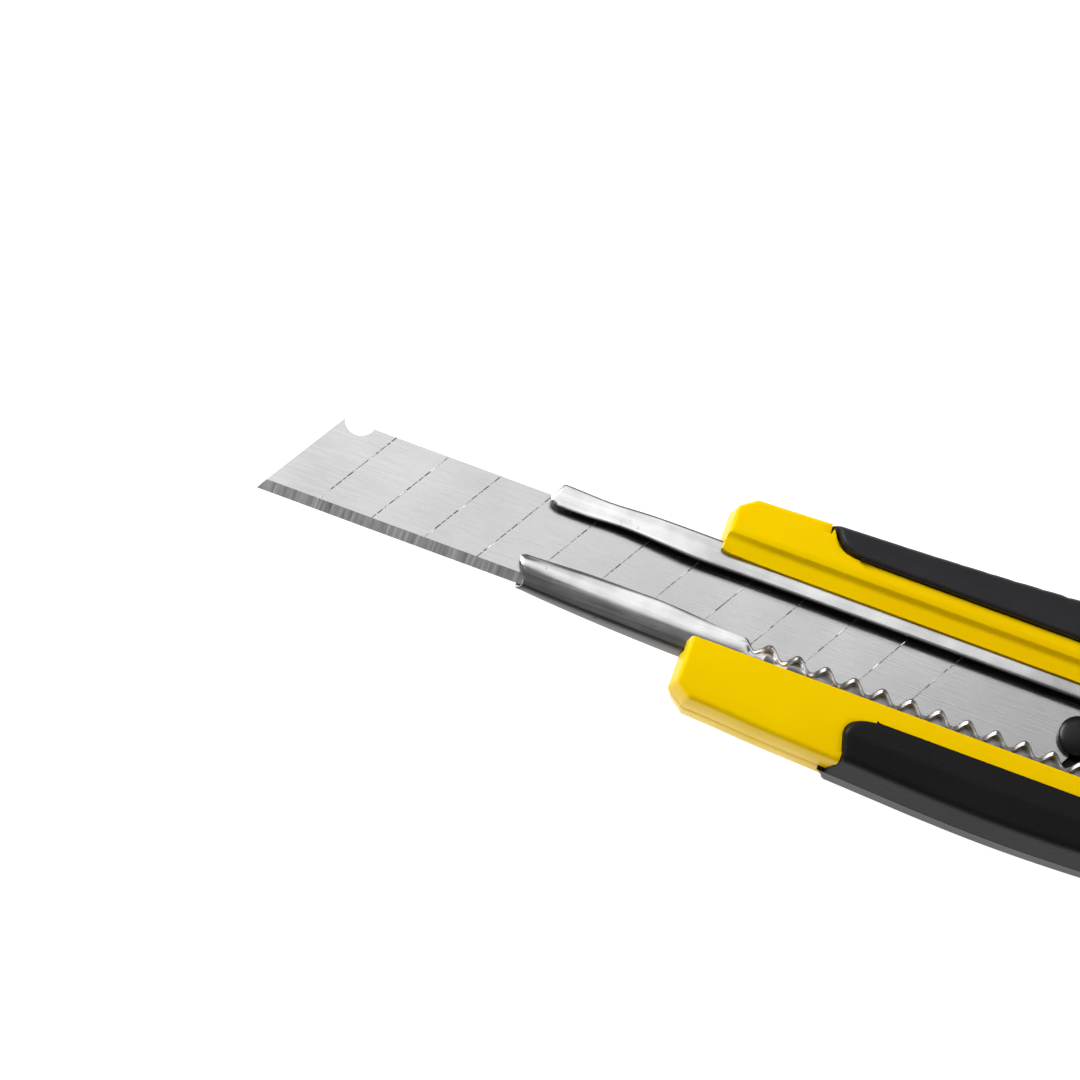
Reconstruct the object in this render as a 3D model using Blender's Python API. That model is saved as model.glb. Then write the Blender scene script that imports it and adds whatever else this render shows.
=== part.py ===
"""Snap-off utility knife with a ratchet blade channel, as separate parts.

Units are millimetres inside this file and metres in the scene.  The design
datum is the blade tip: X runs from the tip towards the rear cap, Y from the
cutting edge towards the spine, Z up from the blade's upper face.  place()
moves that datum so that the finished knife stands on Z = 0 with its bounding
box centred on the world origin.
"""

import math

import bmesh
import bpy
from mathutils import Vector

# ---------------------------------------------------------------- dimensions
GAP = 0.3  # running and assembly gap
# blade
BLADE_W = 9.0
BLADE_L = 80.0
BLADE_T = 0.38
SEGMENT = 5.0
SCORE_DEG = 60.4
GRIND_W = 1.0
NOTCH_R = 1.45
HOLE_X, HOLE_Y, HOLE_R = 76.6, 4.5, 1.85
# sheet-metal channel
CH_X0, CH_X1 = 24.3, 137.0
CH_T = 0.4
CH_LIP_Z = 1.25  # top of the flat upper lip
CH_OUT_HI = 9.95  # outer face, spine side
CH_OUT_LO = -0.93  # outer face, edge side
CH_FLOOR = -1.9
WAVE_X0 = 45.3
WAVE_PITCH = 2.69
WAVE_CREST, WAVE_TROUGH = 2.22, 1.12
WAVE_TOP = 0.95
# shells
SHELL_X0, SHELL_X1 = 40.5, 142.0
TOP_Z = 2.8
SEAM_Z = -0.5
BACK_Z = -4.2
STEP_Z = 2.0
SLOT_LO, SLOT_HI = 0.1, 8.8
SLOT_END = 136.0
GRIP_TOP = 3.5
GRIP_BACK = -4.8
CAP_X1 = 157.0
PIN_X, PIN_Y = 135.2, 4.5  # rivet that holds the channel
# slider
CARRIER_X0, CARRIER_X1 = 73.6, 105.5
THUMB_X0, THUMB_X1 = 84.0, 104.0
THUMB_TOP = 6.2
THUMB_PRESS = 0.6

# outline of the handle at the edge of its top face: (x, y)
LOWER = [(38, -5.2), (44, -5.4), (50, -5.8), (57, -6.1), (60, -6.25), (66, -6.55), (72, -6.7), (78, -6.6),
         (87, -6.2), (97, -5.9), (107, -6.1), (119, -6.7), (130, -7.0), (142, -6.8), (150, -6.5), (160, -6.0)]
UPPER = [(38, 14.3), (44, 14.5), (50, 14.8), (57, 15.1), (60, 15.25), (66, 15.6), (72, 16.0), (80, 16.35),
         (90, 16.55), (100, 16.4), (112, 16.0), (125, 15.7), (142, 15.4), (150, 15.2), (160, 14.7)]


def smooth(points, x):
    """Cubic Hermite curve through the points, with central-difference slopes."""
    n = len(points)
    if x <= points[0][0]:
        return points[0][1]
    if x >= points[-1][0]:
        return points[-1][1]
    slopes = []
    for i in range(n):
        a, b = points[max(i - 1, 0)], points[min(i + 1, n - 1)]
        slopes.append((b[1] - a[1]) / (b[0] - a[0]))
    for i in range(n - 1):
        (x0, y0), (x1, y1) = points[i], points[i + 1]
        if x <= x1:
            h = x1 - x0
            t = (x - x0) / h
            return ((2 * t**3 - 3 * t**2 + 1) * y0 + (t**3 - 2 * t**2 + t) * h * slopes[i]
                    + (-2 * t**3 + 3 * t**2) * y1 + (t**3 - t**2) * h * slopes[i + 1])
    return points[-1][1]


def y_lo(x):
    return smooth(LOWER, x)


def y_up(x):
    return smooth(UPPER, x)


GRIP_BULGE = 0.55  # how far a grip's side stands out at the seam
XS = [41 + 3.0 * i for i in range(34)]
Y_MIN = min(y_lo(x) for x in XS) - GRIP_BULGE
Y_MAX = max(y_up(x) for x in XS) + GRIP_BULGE
CENTRE = Vector((CAP_X1 / 2, (Y_MIN + Y_MAX) / 2, GRIP_BACK))


def place(x, y, z):
    """Design millimetres to world metres."""
    return (Vector((x, y, z)) - CENTRE) * 0.001


# ---------------------------------------------------------------- scene helpers
for old in list(bpy.data.objects):
    bpy.data.objects.remove(old)


def material(name, colour, rough, metal):
    m = bpy.data.materials.new(name)
    m.use_nodes = True
    b = m.node_tree.nodes["Principled BSDF"]
    b.inputs["Base Color"].default_value = (*colour, 1)
    b.inputs["Roughness"].default_value = rough
    b.inputs["Metallic"].default_value = metal
    return m


def empty(name, at, parent=None):
    e = bpy.data.objects.new(name, None)
    bpy.context.scene.collection.objects.link(e)
    e.location = place(*at) if parent is None else place(*at) - place(*parent[1])
    if parent is not None:
        e.parent = parent[0]
    return e, at


def outward(bm):
    """Faces of one closed body all pointing out."""
    bmesh.ops.recalc_face_normals(bm, faces=bm.faces)
    if bm.calc_volume(signed=True) < 0:
        bmesh.ops.reverse_faces(bm, faces=bm.faces)


def make(name, bm, mat, frame, origin=None, sharp=28):
    """Turns a bmesh in design millimetres into a named object hung on a frame empty."""
    holder, at = frame
    origin = at if origin is None else origin
    base = place(*origin)
    outward(bm)
    for v in bm.verts:
        v.co = place(*v.co) - base
    me = bpy.data.meshes.new(name)
    bm.to_mesh(me)
    bm.free()
    me.shade_smooth()
    me.set_sharp_from_angle(angle=math.radians(sharp))
    o = bpy.data.objects.new(name, me)
    bpy.context.scene.collection.objects.link(o)
    o.parent = holder
    o.location = base - place(*at)
    if mat is not None:
        me.materials.append(mat)
    return o


def loft(rings, strip=False):
    """Closed skin through rings of equal length.  The caps are flat, or with
    strip=True a strip of quads between the two long sides of a folded section."""
    bm = bmesh.new()
    rows = [[bm.verts.new(p) for p in ring] for ring in rings]
    n = len(rows[0])
    for a, b in zip(rows, rows[1:]):
        for i in range(n):
            j = (i + 1) % n
            bm.faces.new((a[i], a[j], b[j], b[i]))
    for row, flip in ((rows[0], True), (rows[-1], False)):
        if strip:
            faces = [(row[i], row[i + 1], row[n - 2 - i], row[n - 1 - i]) for i in range(n // 2 - 1)]
        else:
            faces = [tuple(row)]
        for f in faces:
            bm.faces.new(tuple(reversed(f)) if flip else f)
    if strip:  # the quads are slightly twisted, so their diagonals are fixed here
        bmesh.ops.triangulate(bm, faces=bm.faces)
    return bm


def prism(outline, z0, z1):
    return loft([[(x, y, z0) for x, y in outline], [(x, y, z1) for x, y in outline]])


def block(x0, x1, y0, y1, z0, z1):
    return prism([(x0, y0), (x1, y0), (x1, y1), (x0, y1)], z0, z1)


def turned(cx, cy, profile, steps=24):
    """A turned piece on a vertical axis: profile is (radius, z) from bottom to top."""
    rings = []
    for r, z in profile:
        rings.append([(cx + r * math.cos(2 * math.pi * i / steps), cy + r * math.sin(2 * math.pi * i / steps), z)
                      for i in range(steps)])
    return loft(rings)


def rounded(x0, x1, y0, y1, r, steps=4):
    """Rectangle with round corners, as an outline."""
    out = []
    for cx, cy, a0 in ((x1 - r, y0 + r, -90), (x1 - r, y1 - r, 0), (x0 + r, y1 - r, 90), (x0 + r, y0 + r, 180)):
        for i in range(steps + 1):
            a = math.radians(a0 + 90 * i / steps)
            out.append((cx + r * math.cos(a), cy + r * math.sin(a)))
    return out


def boolean(target, bm, operation="DIFFERENCE"):
    """Cuts (or joins) a tool body, in design millimetres, into target."""
    n = len(target.modifiers)
    me = bpy.data.meshes.new(f"tool_{target.name}_{n}")
    outward(bm)
    for v in bm.verts:
        v.co = place(*v.co)
    bm.to_mesh(me)
    bm.free()
    tool = bpy.data.objects.new(f"tool_{target.name}_{n}", me)
    bpy.context.scene.collection.objects.link(tool)
    tool.hide_render = True
    tool.display_type = "WIRE"
    m = target.modifiers.new(f"{operation.lower()}_{n}", "BOOLEAN")
    m.operation = operation
    m.solver = "EXACT"
    m.object = tool


YELLOW = material("yellow_abs", (0.95, 0.62, 0.0), 0.3, 0.0)
BLACK = material("black_abs", (0.012, 0.012, 0.013), 0.35, 0.0)
RUBBER = material("grip_rubber", (0.02, 0.02, 0.022), 0.55, 0.0)
STEEL = material("channel_steel", (0.78, 0.78, 0.78), 0.22, 1.0)
BLADE_STEEL = material("blade_steel", (0.6, 0.6, 0.61), 0.3, 1.0)
SCREW_STEEL = material("screw_steel", (0.5, 0.5, 0.52), 0.3, 1.0)

handle = empty("handle_frame", (0, 4.5, 0))
slider = empty("slider_frame", (HOLE_X, HOLE_Y, 0))
button = empty("button_frame", ((THUMB_X0 + THUMB_X1) / 2, 4.5, GRIP_TOP))
cap = empty("cap_frame", (SHELL_X1, 4.5, 0))

# ---------------------------------------------------------------- shells
def shell_section(x, upper_half):
    """Half a handle section: flat face, 0.5 chamfer, near-vertical sides."""
    lo, up = y_lo(x), y_up(x)
    e = 0.0 if x > 43.4 else (43.4 - x) / 2.4  # the nose corners are cut back in plan
    lo, up = lo + 1.3 * e, up - 1.3 * e
    if upper_half:
        return [(x, lo - 0.15, SEAM_Z + GAP / 2), (x, lo - 0.05, TOP_Z - 0.5), (x, lo + 0.4, TOP_Z),
                (x, up - 0.4, TOP_Z), (x, up + 0.05, TOP_Z - 0.5), (x, up + 0.15, SEAM_Z + GAP / 2)]
    return [(x, lo - 0.15, SEAM_Z - GAP / 2), (x, lo - 0.1, BACK_Z + 1.2), (x, lo + 1.0, BACK_Z),
            (x, up - 1.0, BACK_Z), (x, up + 0.1, BACK_Z + 1.2), (x, up + 0.15, SEAM_Z - GAP / 2)]


def shell_rings(upper_half):
    rings = []
    for x in [41.0, 42.2, 43.4] + [47 + 5.0 * i for i in range(19)] + [SHELL_X1]:
        ring = shell_section(x, upper_half)
        if x == 41.0:  # drafted nose: the flat face starts a little behind the seam
            ring = [(SHELL_X0 if k in (0, 5) else (SHELL_X0 + 0.25 if k in (1, 4) else 41.1), p[1], p[2])
                    for k, p in enumerate(ring)]
        rings.append(ring)
    return rings


# Front ends of the four grips, as x of the front edge against the position u
# round the section, from u = 0 at the inner edge to u = 1 at the seam.
FRONT_LOWER = [(0.0, 58.2), (0.08, 57.0), (0.2, 56.4), (0.4, 56.7), (0.6, 56.95), (0.8, 56.5), (1.0, 56.1)]
FRONT_UPPER = [(0.0, 51.8), (0.08, 51.0), (0.25, 50.5), (0.45, 50.0), (0.65, 49.5), (1.0, 49.2)]
REAR_LOWER = [(0.0, 126.5), (0.1, 127.8), (0.3, 128.6), (0.7, 129.2), (1.0, 129.6)]
REAR_UPPER = [(0.0, 127.5), (0.1, 128.8), (0.3, 129.6), (0.7, 130.2), (1.0, 130.6)]
GRIP_IN_LO = -1.76
GRIP_IN_UP = 12.2


def grip_section(x, side, face, cutter=False):
    """Section of a grip at x.  side -1 is the edge side, +1 the spine side;
    face +1 is the front, -1 the back.  Returns (u, outer point, inner point)
    from the inner edge round to the seam; the recess cutter follows the same u."""
    inner = GRIP_IN_LO if side < 0 else GRIP_IN_UP
    edge = y_lo(x) if side < 0 else y_up(x)
    s, f = side, face
    top = GRIP_TOP if f > 0 else GRIP_BACK
    floor = TOP_Z - 0.85 if f > 0 else BACK_Z + 0.85
    seam = SEAM_Z + f * GAP / 2
    mid = (top + seam) / 2
    wall = 1.25 if cutter else 0.9
    low = floor if cutter else floor + f * GAP
    w = edge - inner  # signed width of the grip's face
    rows = [(0.0, (inner, top - f * 0.15), (inner, low))]
    rows += [(u, (inner + w * k, top), (inner + w * k, low)) for u, k in ((0.04, 0.05), (0.1, 0.15), (0.2, 0.32), (0.35, 0.55))]
    rows += [
            (0.5, (edge - s * 0.5, top - f * 0.25), (edge - s * (wall + 0.05), low)),
            (0.6, (edge, top - f * 0.7), (edge - s * wall, low - f * 0.3)),
            (0.8, (edge + s * 0.35, mid), (edge - s * wall, mid)),
            (1.0, (edge + s * GRIP_BULGE, seam), (edge - s * wall, seam))]
    if not cutter:
        return rows
    out, made = 26.0 * s, []
    for u, (yo, zo), (yi, zi) in rows:
        if u == 0.0:
            yo = yi = inner - s * GAP
        if u == 1.0:
            zo = zi = seam - f * 1.0
        made.append((u, (yo, top + 4 * f) if u < 0.6 else (out, top + 4 * f if u == 0.6 else zo), (yi, zi)))
    return made


def grip_rings(side, face, cutter=False, extra=0.0):
    front = FRONT_LOWER if side < 0 else FRONT_UPPER
    rear = REAR_LOWER if side < 0 else REAR_UPPER
    shift = -0.7 if face < 0 else 0.0
    n = 16
    rings = []
    us = [row[0] for row in grip_section(90.0, side, face, cutter)]
    for k in range(n + 1):
        t = k / n
        outer, inner = [], []
        for j, u in enumerate(us):
            x = (smooth(front, u) + shift - extra) * (1 - t) + (smooth(rear, u) + extra) * t
            _, (yo, zo), (yi, zi) = grip_section(x, side, face, cutter)[j]
            outer.append((x, yo, zo))
            inner.append((x, yi, zi))
        rings.append(outer + inner[::-1])
    return rings


front_shell = make("front_shell", loft(shell_rings(True)), YELLOW, handle)
boolean(front_shell, prism(rounded(20, SLOT_END, SLOT_LO, SLOT_HI, 1.5), -6, 8))
boolean(front_shell, block(20, 160, CH_OUT_LO - GAP, CH_OUT_HI + GAP, -6, CH_LIP_Z + GAP))
boolean(front_shell, block(20, SLOT_END, SLOT_HI - 2, 10.6, STEP_Z, 8))

back_shell = make("back_shell", loft(shell_rings(False)), YELLOW, handle)
# raised flat panel on the back, level with the grips: the face the knife rests on
boolean(back_shell, prism(rounded(62, 122, 0.3, 8.7, 1.5), GRIP_BACK, BACK_Z + 0.4), "UNION")
boolean(back_shell, block(20, 160, CH_OUT_LO - GAP, CH_OUT_HI + GAP, CH_FLOOR - GAP, 6))

# pockets moulded into the halves beside the channel, open at the seam
for x0, x1 in ((60.0, 90.0), (93.0, 124.0)):
    boolean(front_shell, block(x0, x1, -4.3, -2.4, SEAM_Z - 1, 0.9))
    boolean(front_shell, block(x0, x1, 11.6, 13.6, SEAM_Z - 1, 0.9))
    boolean(back_shell, block(x0, x1, -4.3, -2.4, -2.2, SEAM_Z + 1))
    boolean(back_shell, block(x0, x1, 11.6, 13.6, -2.2, SEAM_Z + 1))

grip_front_lower = make("grip_front_lower", loft(grip_rings(-1, 1), True), RUBBER, handle)
grip_front_upper = make("grip_front_upper", loft(grip_rings(1, 1), True), RUBBER, handle)
grip_back_lower = make("grip_back_lower", loft(grip_rings(-1, -1), True), RUBBER, handle)
grip_back_upper = make("grip_back_upper", loft(grip_rings(1, -1), True), RUBBER, handle)

# ---------------------------------------------------------------- shell screws
SCREWS = {"screw_front_lower": (47.5, -3.4), "screw_front_upper": (45.8, 12.6),
          "screw_rear_lower": (136.5, -4.2), "screw_rear_upper": (136.5, 13.0)}
for name, (sx, sy) in SCREWS.items():
    head_z = BACK_Z + 0.4
    s = make(name, turned(sx, sy, [(1.45, head_z), (1.6, head_z + 0.2), (1.6, head_z + 1.0), (0.8, head_z + 1.8),
                                   (0.8, 1.0), (0.35, 1.6)]), SCREW_STEEL, handle, (sx, sy, 0))
    for a in (0, 90):  # cross recess
        c = block(-0.75, 0.75, -0.16, 0.16, head_z - 1, head_z + 0.55)
        for v in c.verts:
            x, y = v.co.x, v.co.y
            r = math.radians(a + 20)
            v.co.x, v.co.y = sx + x * math.cos(r) - y * math.sin(r), sy + x * math.sin(r) + y * math.cos(r)
        boolean(s, c)
    boolean(back_shell, turned(sx, sy, [(1.9, BACK_Z - 1), (1.9, head_z + 1.1), (1.05, head_z + 2.0), (1.05, 1)]))
    boolean(front_shell, turned(sx, sy, [(1.05, -2), (1.05, 1.75)]))

boolean(back_shell, turned(PIN_X, PIN_Y, [(1.3, -3.6), (1.3, 0)], 20))  # hole for the channel rivet
# recesses that the four grips are moulded into
for shell, face in ((front_shell, 1), (back_shell, -1)):
    for side in (-1, 1):
        boolean(shell, loft(grip_rings(side, face, True, 1.5 * GAP), True))

# ---------------------------------------------------------------- channel
def arc(cy, cz, r, a0, a1, n):
    return [(cy + r * math.cos(math.radians(a0 + (a1 - a0) * i / n)), cz + r * math.sin(math.radians(a0 + (a1 - a0) * i / n)))
            for i in range(n + 1)]


def channel_line(x):
    """Centre line of the sheet at x, from the upper lip's edge round to the lower lip's edge."""
    k = min(max((x - 25.0) / 15.0, 0.0), 1.0)  # the nose is pinched on to the blade
    t = CH_T if x > 30 else 0.3 + 0.1 * k
    h = t / 2
    floor = (-0.78 + (CH_FLOOR + 0.78) * k) + h
    lip_in = 7.9 + (7.65 - 7.9) * min(max((x - 30) / 12, 0), 1)
    hi, lo = CH_OUT_HI - h, (-0.47 + (CH_OUT_LO + 0.47) * k) + h
    zt = CH_LIP_Z - h
    r = 0.45
    line = [(lip_in, zt), (9.0, zt)] + arc(hi - r, zt - r, r, 90, 0, 3)
    line += arc(hi - r, floor + r, r, 0, -90, 3)
    rr = 0.7 if k >= 1 else 0.5 + 0.2 * k
    line += arc(lo + rr, floor + rr, rr, -90, -180, 3)
    # rolled lip over the cutting edge
    wave = x > WAVE_X0
    top = 0.62
    line += [(lo, 0.05), (lo + 0.35, 0.45), (1.1, top)]
    if wave:
        line += [(1.25, top), (1.4, top)]
    else:
        line += [(2.0, 0.52), (2.85, 0.32)]
    return line, t


def ribbon(x, line, t, shear=0.0):
    """Closed section of thickness t about the line."""
    left, right = [], []
    n = len(line)
    for i, (y, z) in enumerate(line):
        a, b = line[max(i - 1, 0)], line[min(i + 1, n - 1)]
        dy, dz = b[0] - a[0], b[1] - a[1]
        length = math.hypot(dy, dz)
        ny, nz = -dz / length * t / 2, dy / length * t / 2
        left.append((x, y + ny, z + nz))
        right.append((x, y - ny, z - nz))
    return left + right[::-1]


stations = [CH_X0, 28.0, 32.0, 36.0, 40.0, 42.0, 45.2, 45.6, 60.0, 90.0, 120.0, CH_X1]
rings = []
for x in stations:
    line, t = channel_line(x)
    rings.append(ribbon(x, line, t))
blade_channel = make("blade_channel", loft(rings, True), STEEL, handle)


def wave_y(x):
    return 0.5 * (WAVE_CREST + WAVE_TROUGH) - 0.5 * (WAVE_CREST - WAVE_TROUGH) * math.cos(
        2 * math.pi * (x - 46.65) / WAVE_PITCH)


rings = []
x = 46.65 - WAVE_PITCH / 2
while x < CH_X1 - 1.0:
    y = wave_y(x)
    rings.append([(x, y - 0.18, 0.45), (x, y + 0.12, 0.45), (x, y + 0.12, WAVE_TOP), (x, y - 0.18, WAVE_TOP)])
    x += WAVE_PITCH / 4
boolean(blade_channel, loft(rings), "UNION")
# fixing hole in the channel floor, with its rivet into the back shell
boolean(blade_channel, turned(PIN_X, PIN_Y, [(1.3, -4), (1.3, 0)], 20))
channel_rivet = make("channel_rivet", turned(PIN_X, PIN_Y, [(0.9, -3.4), (1.0, -3.2), (1.0, -1.4), (1.7, -1.35), (1.6, -1.05),
                                                            (0.9, -0.8)], 20), SCREW_STEEL, handle, (PIN_X, PIN_Y, 0))

# ---------------------------------------------------------------- blade
lean = 1 / math.tan(math.radians(SCORE_DEG))


def blade_ring(x):
    """Section sheared along the score lines."""
    g = GRIND_W
    pts = [(0.0, -BLADE_T / 2), (g, 0.0), (BLADE_W, 0.0), (BLADE_W, -BLADE_T), (g, -BLADE_T)]
    return [(x + y * lean, y, z) for y, z in pts]


blade = make("blade", loft([blade_ring(0.0), blade_ring(BLADE_L - 5.11)]), BLADE_STEEL, slider)
boolean(blade, turned(6.55, 9.35, [(NOTCH_R, -2), (NOTCH_R, 2)], 24))
boolean(blade, turned(HOLE_X, HOLE_Y, [(HOLE_R, -2), (HOLE_R, 2)], 28))
boolean(blade, block(78.6, 90, -2, 12, -2, 2))

# ---------------------------------------------------------------- slider
tongue_z0, tongue_z1 = CH_FLOOR + CH_T + 0.15, -BLADE_T - 0.15
slider_carrier = make("slider_carrier", prism(rounded(CARRIER_X0, CARRIER_X1, 0.2, 8.9, 1.0), tongue_z0, tongue_z1), BLACK, slider)
boolean(slider_carrier, prism(rounded(79.6, CARRIER_X1, 0.2, 8.9, 0.5), tongue_z1 - 0.3, 0.7), "UNION")
boolean(slider_carrier, turned(HOLE_X, HOLE_Y, [(1.5, tongue_z1 - 0.3), (1.5, 0.62), (1.2, 0.85), (0.6, 0.95)], 28), "UNION")
boolean(slider_carrier, prism(rounded(85.5, 102.5, 3.0, 7.2, 0.6), 0.4, 2.2), "UNION")
boolean(slider_carrier, block(CARRIER_X0 - 1, CARRIER_X1 + 1, -1, 2.6, 0.15, 1.5))  # room for the lower lip
boolean(slider_carrier, turned(94.0, 5.1, [(0.95, -3), (0.95, 4)], 20))  # bore for the slider rivet
boolean(slider_carrier, block(86.3, 101.0, 2.5, 3.2, 0.1, 1.25))  # seat for the ratchet spring

# ratchet spring: a thin strip beside the neck with one bent tooth
SPR_T = 0.16
pts = [(86.6, 2.82), (90.6, 2.82), (92.2, 2.78), (93.3, 2.5), (94.4, 2.78), (96.2, 2.82), (100.6, 2.82)]
strip = [(x, y - SPR_T / 2) for x, y in pts] + [(x, y + SPR_T / 2) for x, y in reversed(pts)]
ratchet_spring = make("ratchet_spring", prism(strip, 0.3, 0.95), SCREW_STEEL, slider, (93.3, 2.8, 0.6))

slider_rivet = make("slider_rivet", turned(94.0, 5.1, [(0.75, -1.3), (0.85, -1.15), (0.85, 3.4), (0.6, 3.6)], 20), SCREW_STEEL, slider, (94.0, 5.1, 0))

# thumb button: flared body over the slot, hollow beneath
base_z = GRIP_TOP - 0.1 + THUMB_PRESS - 0.45
rings = []
for z, grow in ((base_z, -0.3), (base_z + 0.35, 0.0), (base_z + 1.1, -0.15), (THUMB_TOP - 1.3, -0.7)):
    rings.append([(x, y, z) for x, y in rounded(THUMB_X0 - grow, THUMB_X1 + grow, -0.9 - grow, 9.9 + grow, 2.2, 4)])
thumb_slider = make("thumb_slider", loft(rings), BLACK, button)
boolean(thumb_slider, prism(rounded(86.5, 101.5, 1.4, 7.6, 0.8), 2.85, base_z + 0.4), "UNION")
boolean(thumb_slider, turned(94.0, 5.1, [(1.05, 2.0), (1.05, 5.5)], 20))  # blind bore over the rivet head
boolean(thumb_slider, prism(rounded(86.3, 101.7, 1.3, 7.7, 1.2), THUMB_TOP - 1.9, THUMB_TOP + 2))  # seat of the pad

# soft pad on the button, with raised ribs
thumb_pad = make("thumb_pad", prism(rounded(86.5, 101.5, 1.5, 7.5, 1.1), THUMB_TOP - 1.75, THUMB_TOP - 0.8), RUBBER, button,
                 (94.0, 4.5, THUMB_TOP - 1.3))
for i in range(6):
    cx = 88.3 + 2.28 * i
    rib = [(cx - 0.65, THUMB_TOP - 1.0), (cx + 0.65, THUMB_TOP - 1.0), (cx + 0.3, THUMB_TOP), (cx - 0.3, THUMB_TOP)]
    boolean(thumb_pad, loft([[(x, 2.1, z) for x, z in rib], [(x, 6.9, z) for x, z in rib]]), "UNION")

# ---------------------------------------------------------------- rear cap
def cap_ring(x):
    k = max(0.0, (x - 150.5) / (CAP_X1 - 150.5))
    pull = 4.2 * (1 - math.sqrt(max(0.0, 1 - k * k * 0.96)))
    lo, up = y_lo(x) + pull, y_up(x) - pull
    zt, zb = TOP_Z - 1.6 * k**2.5, BACK_Z + 1.6 * k**2.5
    zm = SEAM_Z
    c = 0.6
    return [(x, lo, zt - c), (x, lo + c, zt), (x, up - c, zt), (x, up, zt - c), (x, up + 0.2, zm), (x, up, zb + 2 * c),
            (x, up - 2 * c, zb), (x, lo + 2 * c, zb), (x, lo, zb + 2 * c), (x, lo - 0.2, zm)]


rear_cap = make("rear_cap", loft([cap_ring(x) for x in (SHELL_X1 + GAP, 146, 150.5, 152.5, 154.2, 155.5, 156.4, CAP_X1)]), BLACK, cap)
boolean(rear_cap, prism(rounded(SHELL_X1 - 3.9, SHELL_X1 + 2, 0.4, 8.6, 0.5), -1.5, 1.1), "UNION")
boolean(rear_cap, block(CAP_X1 - 5.5, CAP_X1 + 1, -0.6, 9.6, -0.9, 0.1))  # slit that grips a blade segment
boolean(rear_cap, turned(149.5, 11.4, [(1.75, -8), (1.75, 8)], 24))  # lanyard hole
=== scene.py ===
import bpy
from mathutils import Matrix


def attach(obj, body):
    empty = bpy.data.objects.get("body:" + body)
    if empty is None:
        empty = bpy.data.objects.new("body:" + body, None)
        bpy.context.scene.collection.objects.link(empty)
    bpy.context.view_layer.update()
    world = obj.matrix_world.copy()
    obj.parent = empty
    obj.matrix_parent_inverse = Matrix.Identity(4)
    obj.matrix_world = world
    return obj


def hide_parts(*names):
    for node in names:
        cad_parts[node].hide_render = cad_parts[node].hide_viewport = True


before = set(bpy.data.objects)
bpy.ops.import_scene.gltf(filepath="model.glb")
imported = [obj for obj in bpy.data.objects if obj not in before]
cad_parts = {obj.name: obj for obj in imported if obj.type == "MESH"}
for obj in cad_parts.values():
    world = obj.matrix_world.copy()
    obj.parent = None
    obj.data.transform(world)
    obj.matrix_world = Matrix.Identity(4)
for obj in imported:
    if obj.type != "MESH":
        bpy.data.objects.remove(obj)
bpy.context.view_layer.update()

import math

import bmesh
import bpy
import numpy as np
from mathutils import Matrix, Vector

# Design datum: the blade tip, in millimetres.  X runs to the rear cap, Y from the
# cutting edge to the spine, Z up from the blade's upper face.
GAP = 0.3
BLADE_W, BLADE_L, BLADE_T, SEGMENT, SCORE_DEG = 9.0, 80.0, 0.38, 5.0, 60.4
HOLE_X, HOLE_Y, HOLE_R = 76.6, 4.5, 1.85
CH_X0, CH_X1, CH_T, CH_LIP_Z = 24.3, 137.0, 0.4, 1.25
CH_OUT_HI, CH_OUT_LO, CH_FLOOR = 9.95, -0.93, -1.9
WAVE_PITCH, WAVE_0 = 2.69, 46.65
TOP_Z, SEAM_Z, BACK_Z, STEP_Z = 2.8, -0.5, -4.2, 1.75
SLOT_LO, SLOT_HI, SLOT_END = 0.1, 8.86, 136.0
SHELL_X1, CAP_X1 = 142.0, 157.0
GRIP_TOP, GRIP_BACK, GRIP_BULGE = 3.5, -4.8, 0.55
GRIP_IN_LO, GRIP_IN_UP = -1.76, 12.2
THUMB_X0, THUMB_X1, THUMB_TOP = 84.0, 104.0, 6.2

LOWER = [(38, -5.2), (44, -5.4), (50, -5.8), (57, -6.1), (60, -6.25), (66, -6.55), (72, -6.7), (78, -6.6),
         (87, -6.2), (97, -5.9), (107, -6.1), (119, -6.7), (130, -7.0), (142, -6.8), (150, -6.5), (160, -6.0)]
UPPER = [(38, 14.3), (44, 14.5), (50, 14.8), (57, 15.1), (60, 15.25), (66, 15.6), (72, 16.0), (80, 16.35),
         (90, 16.55), (100, 16.4), (112, 16.0), (125, 15.7), (142, 15.4), (150, 15.2), (160, 14.7)]
FRONT_LOWER = [(0.0, 58.9), (0.012, 58.1), (0.04, 57.45), (0.09, 56.85), (0.16, 56.5), (0.25, 56.4), (0.4, 56.7), (0.6, 56.95), (0.8, 56.5), (1.0, 56.1)]
FRONT_UPPER = [(0.0, 52.9), (0.012, 52.2), (0.04, 51.6), (0.09, 51.1), (0.16, 50.75), (0.27, 50.4), (0.45, 50.0), (0.65, 49.5), (1.0, 49.2)]
REAR_LOWER = [(0.0, 126.5), (0.1, 127.8), (0.3, 128.6), (0.7, 129.2), (1.0, 129.6)]
REAR_UPPER = [(0.0, 127.5), (0.1, 128.8), (0.3, 129.6), (0.7, 130.2), (1.0, 130.6)]


def smooth(points, x):
    """Cubic Hermite curve through the points, with central-difference slopes."""
    n = len(points)
    if x <= points[0][0]:
        return points[0][1]
    if x >= points[-1][0]:
        return points[-1][1]
    for i in range(n - 1):
        (x0, y0), (x1, y1) = points[i], points[i + 1]
        if x <= x1:
            p, q = points[max(i - 1, 0)], points[min(i + 2, n - 1)]
            m0 = (y1 - p[1]) / (x1 - p[0])
            m1 = (q[1] - y0) / (q[0] - x0)
            h = x1 - x0
            t = (x - x0) / h
            return ((2 * t**3 - 3 * t**2 + 1) * y0 + (t**3 - 2 * t**2 + t) * h * m0
                    + (-2 * t**3 + 3 * t**2) * y1 + (t**3 - t**2) * h * m1)
    return points[-1][1]


def y_lo(x):
    return smooth(LOWER, x)


def y_up(x):
    return smooth(UPPER, x)


def clamp(v, a=0.0, b=1.0):
    return min(max(v, a), b)


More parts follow.
